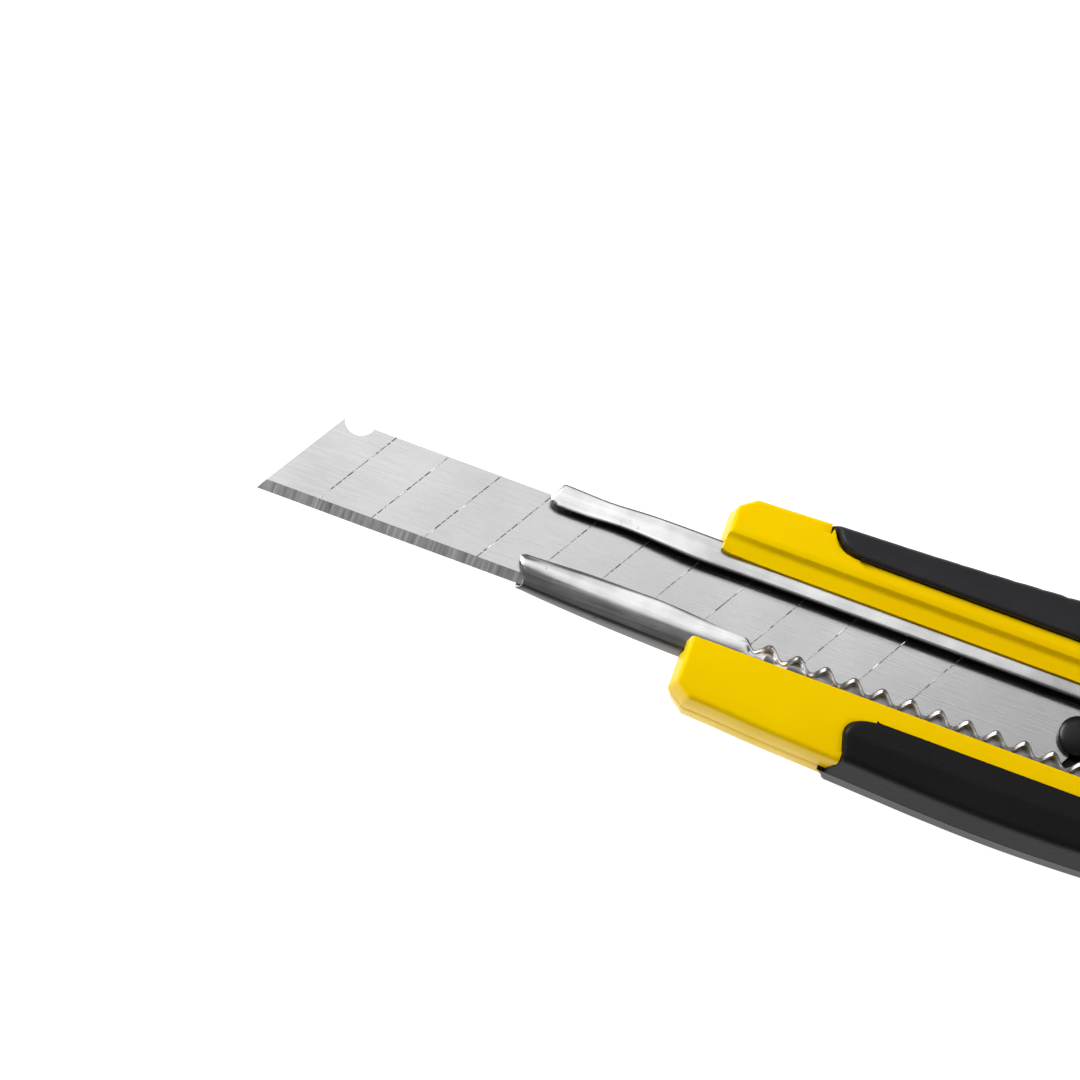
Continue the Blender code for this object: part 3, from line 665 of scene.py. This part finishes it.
def channel_line(x):
    k = clamp((x - 25.0) / 15.0)
    k = 0.4 * k + 0.6 * (1 - (1 - k) ** 2)
    t = 0.3 + 0.1 * k
    h = t / 2
    floor = (-0.78 + (CH_FLOOR + 0.78) * k) + h
    lip_in = smooth(LIP_IN, x)
    hi = CH_OUT_HI - h + 0.08 - 0.13 * math.exp(-(((x - 30.0) / 2.2) ** 2)) + 0.05 * ease((x - 32) / 3) - 0.05 * ease((x - 40) / 2)
    lo = (-0.47 + (CH_OUT_LO + 0.47) * k) + h
    zt = 1.08 + 0.4 * ease((x - 27.0) / 11.0) - h
    hi += 0.05 * (1 - ease((x - 27.0) / 11.0))
    r = 0.13
    line = [(lip_in + (9.3 - lip_in) * q, zt) for q in (0, 0.05, 0.12, 0.25, 0.5, 0.75, 0.95)]
    line += [(hi - r + r * math.cos(math.radians(a)), zt - r + r * math.sin(math.radians(a))) for a in (90, 72, 54, 36, 18, 0)]
    line += [(hi, 0.3), (hi, -0.2)]
    r2 = min(0.45, (zt - r - floor) * 0.5)
    line += [(hi - r2 + r2 * math.cos(math.radians(a)), floor + r2 + r2 * math.sin(math.radians(a))) for a in (0, -22, -45, -67, -90)]
    line += [(7.0, floor), (4.5, floor), (2.0, floor)]
    rr = 0.5 + 0.2 * k
    line += [(lo + rr + rr * math.cos(math.radians(a)), floor + rr + rr * math.sin(math.radians(a)))
             for a in (-90, -105, -120, -135, -150, -165, -180)]
    edge_y = 2.54 + 0.26 * ease((x - 24.5) / 7.0) - 0.62 * ease((x - 36.5) / 10.0)
    edge_z = 0.3
    ez = 0.69 - 0.08 * ease((x - 25.5) / 4.0) + 0.09 * ease((x - 30.0) / 8.0) + 0.08 * ease((x - 41.0) / 4.0)
    roll = [(lo, 0.0), (lo + 0.03, 0.12), (lo + 0.09, 0.23), (lo + 0.18, 0.34), (lo + 0.3, 0.43), (lo + 0.46, 0.51), (0.5 - 0.58 * k, 0.615), (0.95 - 0.66 * k, 0.715), (1.35 - 0.6 * k, 0.785),
            (1.75 - 0.2 * k, 0.805), (2.1 - 0.3 * k, 0.79 - 0.2 * (0.78 - ez)), (edge_y - 0.38, 0.79 - 0.55 * (0.78 - ez)),
            (edge_y - 0.14, 0.785 - 0.8 * (0.78 - ez)), (edge_y, ez)]
    wy, wz, m = wave_shape(x)
    cr = (0.5 - 0.5 * math.cos(2 * math.pi * (x - WAVE_0) / WAVE_PITCH)) * ease((x - 46.65) / 1.3)
    wz = 0.8 + 0.08 * m
    zb = wz - 0.03 - 0.38 * m
    zf = max(zb - cr * (0.2 + 0.3 * m), 0.28)
    rim = wy - 0.24
    y1 = min(0.8 + cr * 0.75 * (1 - m), rim - 0.2)
    foot = max(rim - (0.1 + 0.22 * cr), y1 + 0.06)
    formed = [(lo, 0.0), (lo + 0.03, 0.12), (lo + 0.09, 0.22), (lo + 0.18, 0.32), (lo + 0.3, 0.4 - 0.06 * m), (lo + 0.46, 0.47 - 0.1 * m), (-0.1, 0.55 - 0.2 * m), (0.2, zb - 0.03),
              (y1, zb), (foot, zf), (foot + (rim - foot) * 0.5, zf + (wz - zf) * 0.5), (rim, wz - 0.005), (wy - 0.1, wz), (wy, wz - 0.03)]
    b = ease((x - 45.0) / 1.65)
    line += [(p[0] * (1 - b) + q[0] * b, p[1] * (1 - b) + q[1] * b) for p, q in zip(roll, formed)]
    return line, t


def densify(line, keep):
    """Adds the midpoint of each segment to the polyline; the shape stays the same. keep is not used."""
    out = [line[0]]
    for a, b in zip(line, line[1:]):
        out.append(((a[0] + b[0]) / 2, (a[1] + b[1]) / 2))
        out.append(b)
    return out


def channel_rings():
    xs = [CH_X0 + q for q in (0.0, 0.15, 0.35, 0.7)]
    x = xs[-1]
    while x < 44.8:
        x += 0.5
        xs.append(x)
    while x < CH_X1 - 0.3:
        x += WAVE_PITCH / 20
        xs.append(x)
    rings = []
    for x in xs:
        line, t = channel_line(x)
        n = len(line)
        slope = 0.0
        if x > 46:
            slope = (wave_shape(x + 0.05)[0] - wave_shape(x - 0.05)[0]) / 0.1
        left, right = [], []
        for i, (y, z) in enumerate(line):
            a, b = line[max(i - 1, 0)], line[min(i + 1, n - 1)]
            ty, tz = b[0] - a[0], b[1] - a[1]
            ln = math.hypot(ty, tz) or 1
            ny, nz = -tz / ln, ty / ln
            th = t
            near = min(i, n - 1 - i)
            th *= (0.86, 0.97, 1.0)[min(near, 2)]
            th *= 0.35 + 0.65 * min(1.0, ((x - CH_X0) / 0.35) ** 0.5 if x > CH_X0 else 0.0)
            if i > n - 5 and x > 45.0:
                th *= 1 + ease((x - 45.0) / 1.65) * (0.55 * clamp(slope, 0.0, 1.2) - 0.2)
            # the front end: upper lip has a rounded corner, the rail's cut slants back
            fx = x
            if x < CH_X0 + 2.4:
                if i < 13:
                    lead = (1.75, 1.32, 1.02, 0.77, 0.68, 0.82, 1.08, 1.2, 1.28, 1.34, 1.38, 1.4, 1.42)[i]
                elif i < n - 14:
                    lead = 1.42 if i < 20 else (1.2, 0.8, 0.5)[i - 20] if i < 23 else 0.36
                else:
                    j = i - (n - 14)
                    lead = (0.6, 0.74, 0.84, 0.9, 0.92, 0.9, 0.8, 0.58, 0.32, 0.1, -0.02, -0.08, 0.02, 0.28)[j]
                fx = x + lead * (1 - (x - CH_X0) / 2.4)
            left.append((fx, y + ny * th / 2, z + nz * th / 2))
            right.append((fx, y - ny * th / 2, z - nz * th / 2))
        rings.append(left + right[::-1])
    return rings


chan_rings = channel_rings()
chan = raw_object("channel", bm_of(loft(chan_rings, "strip")))
for m in (CHANNEL, CHANNEL_SHADE, POCKET_SHADE, CHANNEL_DARK_REFLECTION):
    chan.data.materials.append(m)
per_ring = len(chan_rings[0])
half_ring = per_ring // 2
for p in chan.data.polygons:
    ids = list(p.vertices)
    # Faces inside one ring are the sheet's two end faces; they take the grey pocket copy as well.
    if len({i // per_ring for i in ids}) != 2:
        p.material_index = 2
        continue
    ks = [i % per_ring for i in ids]
    c = p.center * 1000 + CENTRE
    inner = all(k >= half_ring for k in ks)
    m = clamp((c.x - 46.65) / 11.0)
    crest = -math.cos(2 * math.pi * (c.x - WAVE_0) / WAVE_PITCH)
    raw = min(ks)
    j = raw - 33
    # The sheet's edge faces and the inside of the channel take the dark copy of the steel: painted shade.
    if {0, per_ring - 1} <= set(ks) or {half_ring - 1, half_ring} <= set(ks):
        p.material_index = 1
    elif inner:
        p.material_index = 1 if 0.6 < c.y < 9.0 or c.z < 0.3 else 0
    # The lower rail's rounded outer side takes the darkened copy: painted dark reflection.
    elif 22 < raw < 34:
        p.material_index = 3
    # Pocket faces next to the wave crests take the grey copy: painted shade.
    elif c.x > 46.2 and j in (6, 7):
        p.material_index = 2 if crest > (-0.7 if m > 0.5 else 0.55) else 0
    elif c.x > 46.2 and j == 5:
        p.material_index = 2 if crest > 0.55 - 1.1 * m else 0
    elif c.x > 46.2 and j == 4:
        p.material_index = 2 if m > 0.45 and crest > 0.8 - 1.2 * m else 0
finish_piece(chan, [CHANNEL, CHANNEL_SHADE, POCKET_SHADE, CHANNEL_DARK_REFLECTION], "handle", ["blade_channel"], sharp=28)

rivet = raw_object("channel_fixing", bm_of(turned(135.2, 4.5, [(0.9, -3.4), (1.0, -3.2), (1.0, -1.45), (1.65, -1.42), (1.7, -1.3), (1.6, -1.08), (1.2, -0.9), (0.5, -0.8), (0.1, -0.78)])))
finish_piece(rivet, HARDWARE, "handle", ["channel_rivet"], sharp=40)

# ------------------------------------------------------------------ blade
lean = 1 / math.tan(math.radians(SCORE_DEG))


def blade_section(x):
    t = BLADE_T
    pts = [(0.0, -t / 2 + 0.004), (1.0, 0.0), (BLADE_W - 0.03, 0.0), (BLADE_W, -0.03), (BLADE_W, -t + 0.03), (BLADE_W - 0.03, -t),
           (1.0, -t), (0.0, -t / 2 - 0.004)]
    return [(x + y * lean, y, z) for y, z in pts]


blade = raw_object("snap_off_blade", bm_of(loft([blade_section(x) for x in (0.0, BLADE_L - 5.11)])))
cut(blade, turned(6.55, 9.35, [(1.45, -2), (1.45, 2)], 64))
cut(blade, turned(HOLE_X, HOLE_Y, [(HOLE_R, -2), (HOLE_R, 2)], 72))
cut(blade, block(78.6, 90, -2, 12, -2, 2))
dashes = bmesh.new()
for i in range(1, 13):
    s0, y, k = SEGMENT * i, 0.96, 0
    while y < BLADE_W + 0.1:
        step = 0.22 + 0.42 * abs(math.sin(12.9 * i + 4.7 * k))
        y1 = min(y + step, BLADE_W + 0.3)
        w, dep = 0.05 + 0.025 * abs(math.sin(3.1 * i + 2.3 * k)), 0.025 + 0.035 * abs(math.sin(7.7 * i + 1.9 * k))
        part = bm_of(loft([[(s0 + t * lean - w, t, 0.02), (s0 + t * lean - w * 0.9, t, 0.0), (s0 + t * lean, t, -dep),
                            (s0 + t * lean + w * 0.9, t, 0.0), (s0 + t * lean + w, t, 0.02)] for t in (y, y1)]))
        piece = bpy.data.meshes.new("dash")
        part.to_mesh(piece)
        part.free()
        dashes.from_mesh(piece)
        bpy.data.meshes.remove(piece)
        y = y1 + 0.04 + 0.1 * abs(math.sin(5.3 * i + 9.1 * k))
        k += 1
dash_tool = raw_object("tool", dashes)
dash_cut = blade.modifiers.new("scores", "BOOLEAN")
dash_cut.operation, dash_cut.solver, dash_cut.object = "DIFFERENCE", "EXACT", dash_tool
bake(blade)
me = blade.data
for m in (BLADE_FACE, BLADE_GRIND, BLADE_CUT):
    me.materials.append(m)
edge_y = (place(0, 1.0, 0)).y
for p in me.polygons:
    c = p.center
    if c.y < edge_y - 1e-5 and abs(p.normal.y) > 0.05 and abs(p.normal.z) > 0.5:
        p.material_index = 1
    elif abs(p.normal.z) < 0.5:
        p.material_index = 2
    else:
        p.material_index = 0
finish_piece(blade, [BLADE_FACE, BLADE_GRIND, BLADE_CUT], "slider", ["blade"], sharp=4)

# ------------------------------------------------------------------ slider carrier
tz0, tz1 = CH_FLOOR + CH_T + 0.15, -BLADE_T - 0.15
carrier = raw_object("carrier", bm_of(prism(rect(73.6, 105.5, 0.2, 8.9, 1.0, 8), tz0, tz1)))
cut(carrier, prism(rect(79.6, 105.5, 0.2, 8.9, 0.5), tz1 - 0.3, 0.7), "UNION")
cut(carrier, prism(rect(85.5, 102.5, 3.0, 7.2, 0.6), 0.4, 2.2), "UNION")
cut(carrier, block(72, 107, -1, 2.6, 0.15, 1.5))
cut(carrier, turned(94.0, 5.1, [(0.95, -3), (0.95, 4)], 40))
cut(carrier, block(86.3, 101.0, 2.5, 3.2, 0.1, 1.25))
bake(carrier)
finish_piece(carrier, BLACK, "slider", ["slider_carrier"], bevel=0.12, segments=2, bevel_angle=40)
peg_profile = [(1.5, tz1 - 0.2), (1.5, 0.02), (1.9, 0.06), (1.93, 0.12), (1.93, 0.42), (1.9, 0.58), (1.8, 0.7), (1.62, 0.8), (1.3, 0.87),
               (0.85, 0.92), (0.4, 0.935), (0.06, 0.94)]
peg = raw_object("carrier_peg", bm_of(turned(HOLE_X, HOLE_Y, peg_profile, 72)))
finish_piece(peg, BLACK, "slider", sharp=50)

strip_pts = [(86.6, 2.82), (90.6, 2.82), (92.2, 2.78), (93.0, 2.56), (93.3, 2.5), (93.6, 2.56), (94.4, 2.78), (96.2, 2.82), (100.6, 2.82)]
strip = [(x, y - 0.08) for x, y in strip_pts] + [(x, y + 0.08) for x, y in reversed(strip_pts)]
spring = raw_object("ratchet_tooth_spring", bm_of(prism(strip, 0.3, 0.95)))
finish_piece(spring, HARDWARE, "slider", ["ratchet_spring"], bevel=0.03, segments=2, bevel_angle=50)
pin = raw_object("button_pin", bm_of(turned(94.0, 5.1, [(0.6, -1.3), (0.75, -1.25), (0.85, -1.1), (0.85, 3.35), (0.78, 3.5), (0.6, 3.58), (0.1, 3.6)], 40)))
finish_piece(pin, HARDWARE, "slider", ["slider_rivet"], sharp=40)


# ------------------------------------------------------------------ thumb button
def button_outline(g):
    return rect(THUMB_X0 - g, THUMB_X1 + g, -0.9 - g, 9.9 + g, 2.2 + g * 0.6, 10)


levels = [(3.55, -0.42), (3.57, -0.3), (3.64, -0.12), (3.78, 0.0), (3.95, 0.02), (4.3, -0.06), (4.6, -0.2), (4.78, -0.38), (4.86, -0.58), (4.9, -0.85)]
button = raw_object("button_body", bm_of(loft(dome_rings(button_outline, levels))))
cut(button, prism(rect(86.5, 101.5, 1.4, 7.6, 0.8, 8), 2.85, 3.95), "UNION")
cut(button, turned(94.0, 5.1, [(1.05, 2.0), (1.05, 5.5)], 40))
cut(button, prism(rect(86.3, 101.7, 1.3, 7.7, 1.2, 8), THUMB_TOP - 1.9, THUMB_TOP + 2))
bake(button)
finish_piece(button, BLACK, "thumb_button", ["thumb_slider"], bevel=0.08, segments=2, bevel_angle=50)


def pad_surface():
    """Ribbed pad as one height field with rolled edges."""
    nx, ny = 220, 60
    x0, x1, y0, y1 = 86.5, 101.5, 1.5, 7.5
    verts, faces = [], []
    for i in range(nx + 1):
        for j in range(ny + 1):
            u, v = i / nx, j / ny
            a, b = 2 * u - 1, 2 * v - 1
            # squircle map keeps the corners round
            hx, hy = (x1 - x0) / 2, (y1 - y0) / 2
            px, py = (x0 + x1) / 2 + a * hx, (y0 + y1) / 2 + b * hy
            cr = 1.1
            dx, dy = max(abs(a) * hx - (hx - cr), 0), max(abs(b) * hy - (hy - cr), 0)
            m = max(abs(dx), abs(dy))
            d = math.hypot(dx, dy)
            if d > 0:
                f = m / d
                px = (x0 + x1) / 2 + math.copysign(min(abs(a) * hx, hx - cr) + dx * f, a)
                py = (y0 + y1) / 2 + math.copysign(min(abs(b) * hy, hy - cr) + dy * f, b)
            edge = cr - m if m > 0 else 1.0
            edge = min(min(hx - abs(a) * hx, hy - abs(b) * hy), 1.0)
            roll = 0.35 * (1 - math.sqrt(max(0.0, 1 - max(0.0, 1 - edge / 0.35) ** 2)))
            z = 5.4 - roll
            k = (px - 88.3) / 2.28
            if -0.5 < k < 5.5:
                near = abs(k - round(k)) * 2.28
                side = ease((min(py - 2.1, 6.9 - py)) / 0.5)
                z += 0.78 * ease((0.72 - near) / 0.45) * side
            verts.append((px, py, z))
    n = ny + 1
    for i in range(nx):
        for j in range(ny):
            faces.append((i * n + j, (i + 1) * n + j, (i + 1) * n + j + 1, i * n + j + 1))
    # skirt and base
    loop = [i * n for i in range(nx + 1)] + [nx * n + j for j in range(1, ny + 1)] + [i * n + ny for i in range(nx - 1, -1, -1)] \
        + [j for j in range(ny - 1, 0, -1)]
    base = len(verts)
    for q in loop:
        verts.append((verts[q][0], verts[q][1], 4.45))
    m = len(loop)
    for q in range(m):
        faces.append((loop[q], base + q, base + (q + 1) % m, loop[(q + 1) % m]))
    faces.append(tuple(base + q for q in range(m)))
    return verts, faces


pad = raw_object("button_pad", bm_of(pad_surface()))
finish_piece(pad, PAD, "thumb_button", ["thumb_pad"], sharp=60)


# ------------------------------------------------------------------ rear cap
def cap_ring(x):
    k = clamp((x - 149.0) / (CAP_X1 - 149.0))
    pull = 4.6 * (1 - math.sqrt(max(0.0, 1 - k * k)))
    lo, up = y_lo(x) - 0.15 + pull, y_up(x) + 0.15 - pull
    sink = 1.5 * (1 - math.sqrt(max(0.0, 1 - k**3)))
    zt, zb = TOP_Z - sink, BACK_Z + sink
    pts = fillet([(lo, SEAM_Z, 0), (lo + 0.05, zt - 0.3, 0.6), (lo + 2.2, zt, 1.5)], 6)[0:7]
    n = 14
    top = [(lo + 1.6 + (up - lo - 3.2) * i / n, zt - crown(lo + 1.6 + (up - lo - 3.2) * i / n) * 0.5) for i in range(n + 1)]
    right = [(4.5 * 2 - 0 - y, z) for y, z in pts]  # mirror of the left corner about the slot centre, then shifted
    shiftr = up - (9.0 - lo)
    right = [(y + shiftr, z) for y, z in right][::-1]
    bl = fillet([(lo, SEAM_Z, 0), (lo + 0.05, zb, 1.1), (lo + 3, zb, 0)], 6)[1:-1]
    br = [(up + lo - y, z) for y, z in bl]
    return [(x, y, z) for y, z in pts + top + right + br + bl[::-1]]


cap_xs = [SHELL_X1 + 0.12, 142.2, 142.35, 143, 144, 146, 148, 150, 151.5, 152.8, 153.8, 154.6, 155.3, 155.8, 156.2, 156.5, 156.72, 156.87, 156.95]
rings = []
for x in cap_xs:
    ring = cap_ring(x)
    off = 0.12 if x == cap_xs[0] else (0.03 if x == cap_xs[1] else 0.0)
    if off:
        ring = [(x, y, z) for y, z in inset([(p[1], p[2]) for p in ring], off)]
    rings.append(ring)
cap = raw_object("end_cap", bm_of(loft(rings)))
cut(cap, prism(rect(138.1, 144, 0.4, 8.6, 0.5), -1.5, 1.1), "UNION")
cut(cap, block(151.5, 158, -0.6, 9.6, -0.85, 0.05))
cut(cap, turned(149.5, 11.4, [(1.75, -8), (1.75, 8)], 64))
for i in range(5):  # pull ribs on both faces
    for zc in (TOP_Z + 0.35, BACK_Z - 0.35):
        cx = 144.6 + 1.35 * i
        hw = 5.2 - 0.25 * i
        ring = []
        rr = [(cx - 0.38, 4.5 - hw), (cx + 0.38, 4.5 - hw), (cx + 0.38, 4.5 + hw), (cx - 0.38, 4.5 + hw)]
        cut(cap, prism(rr, zc - 0.62, zc + 0.62))
bake(cap)
finish_piece(cap, BLACK, "cap", ["rear_cap"], bevel=0.12, segments=3, bevel_angle=45)

# ------------------------------------------------------------------ screws
for name, (sx, sy) in SCREWS.items():
    hz = BACK_Z + 0.4
    s = raw_object(name.replace("screw", "fastener"), bm_of(turned(sx, sy, [(1.2, hz), (1.42, hz + 0.05), (1.56, hz + 0.18), (1.6, hz + 0.4), (1.6, hz + 1.0), (0.8, hz + 1.8), (0.8, 1.0), (0.35, 1.6)])))
    for a in (20, 110):
        r = math.radians(a)
        c = [(-0.8, -0.17), (0.8, -0.17), (0.8, 0.17), (-0.8, 0.17)]
        c = [(sx + x * math.cos(r) - y * math.sin(r), sy + x * math.sin(r) + y * math.cos(r)) for x, y in c]
        cut(s, prism(c, hz - 1, hz + 0.6))
    bake(s)
    finish_piece(s, HARDWARE, "handle", [name], bevel=0.04, segments=2, bevel_angle=50)

# ------------------------------------------------------------------ stage, light, camera
floor_bm = bmesh.new()
bmesh.ops.create_grid(floor_bm, x_segments=2, y_segments=2, size=1.6)
floor_me = bpy.data.meshes.new("floor")
floor_bm.to_mesh(floor_me)
floor_bm.free()
floor = bpy.data.objects.new("floor", floor_me)
bpy.context.scene.collection.objects.link(floor)
fm, fnt, fb = new_material("floor_paper")
fb.inputs["Base Color"].default_value = (0.35, 0.35, 0.35, 1)
fb.inputs["Emission Color"].default_value = (1, 1, 1, 1)
fb.inputs["Emission Strength"].default_value = 1.0
fb.inputs["Roughness"].default_value = 0.9
fb.inputs["Specular IOR Level"].default_value = 0.1
floor_me.materials.append(fm)
floor.location.z = -0.00015

world = bpy.data.worlds.new("studio")
bpy.context.scene.world = world
world.use_nodes = True
bg = world.node_tree.nodes["Background"]
bg.inputs["Color"].default_value = (1, 1, 1, 1)
bg.inputs["Strength"].default_value = 0.1


def area(name, at, target, size_x, size_y, power, colour=(1, 1, 1)):
    d = bpy.data.lights.new(name, "AREA")
    d.shape = "RECTANGLE"
    d.size, d.size_y, d.energy, d.color = size_x, size_y, power, colour
    o = bpy.data.objects.new(name, d)
    bpy.context.scene.collection.objects.link(o)
    o.location = at
    o.rotation_mode = "QUATERNION"
    o.rotation_quaternion = (Vector(target) - Vector(at)).to_track_quat("-Z", "Y")
    return o


area("key_softbox", (-0.17, 0.26, 0.62), (-0.02, 0.0, 0.0), 0.55, 0.34, 0.62)
area("left_softbox", (-0.36, 0.145, 0.3), (0, 0, 0), 0.26, 0.26, 2.3)
area("right_softbox", (0.75, 0.15, 0.6), (0, 0, 0), 0.5, 0.5, 2.05)

scene = bpy.context.scene
scene.view_settings.view_transform = "Standard"
scene.view_settings.look = "None"
scene.view_settings.exposure = 0.0
scene.view_settings.gamma = 1.0

cam_data = bpy.data.cameras.new("camera")
cam_data.sensor_width = 36.0
cam_data.lens = 160.0
cam = bpy.data.objects.new("camera", cam_data)
bpy.context.scene.collection.objects.link(cam)
cx_axis = Vector((0.93847, 0.32593, 0.1142)).normalized()
cz_axis = Vector((0.00328, -0.33906, 0.94076)).normalized()
cy_axis = cz_axis.cross(cx_axis).normalized()
cx_axis = cy_axis.cross(cz_axis)
rot = Matrix((cx_axis, cy_axis, cz_axis)).transposed()
cam.matrix_world = Matrix.Translation(place(26.75, -141.09, 404.03)) @ rot.to_4x4()
cam_data.clip_start, cam_data.clip_end = 0.01, 20
scene.camera = cam
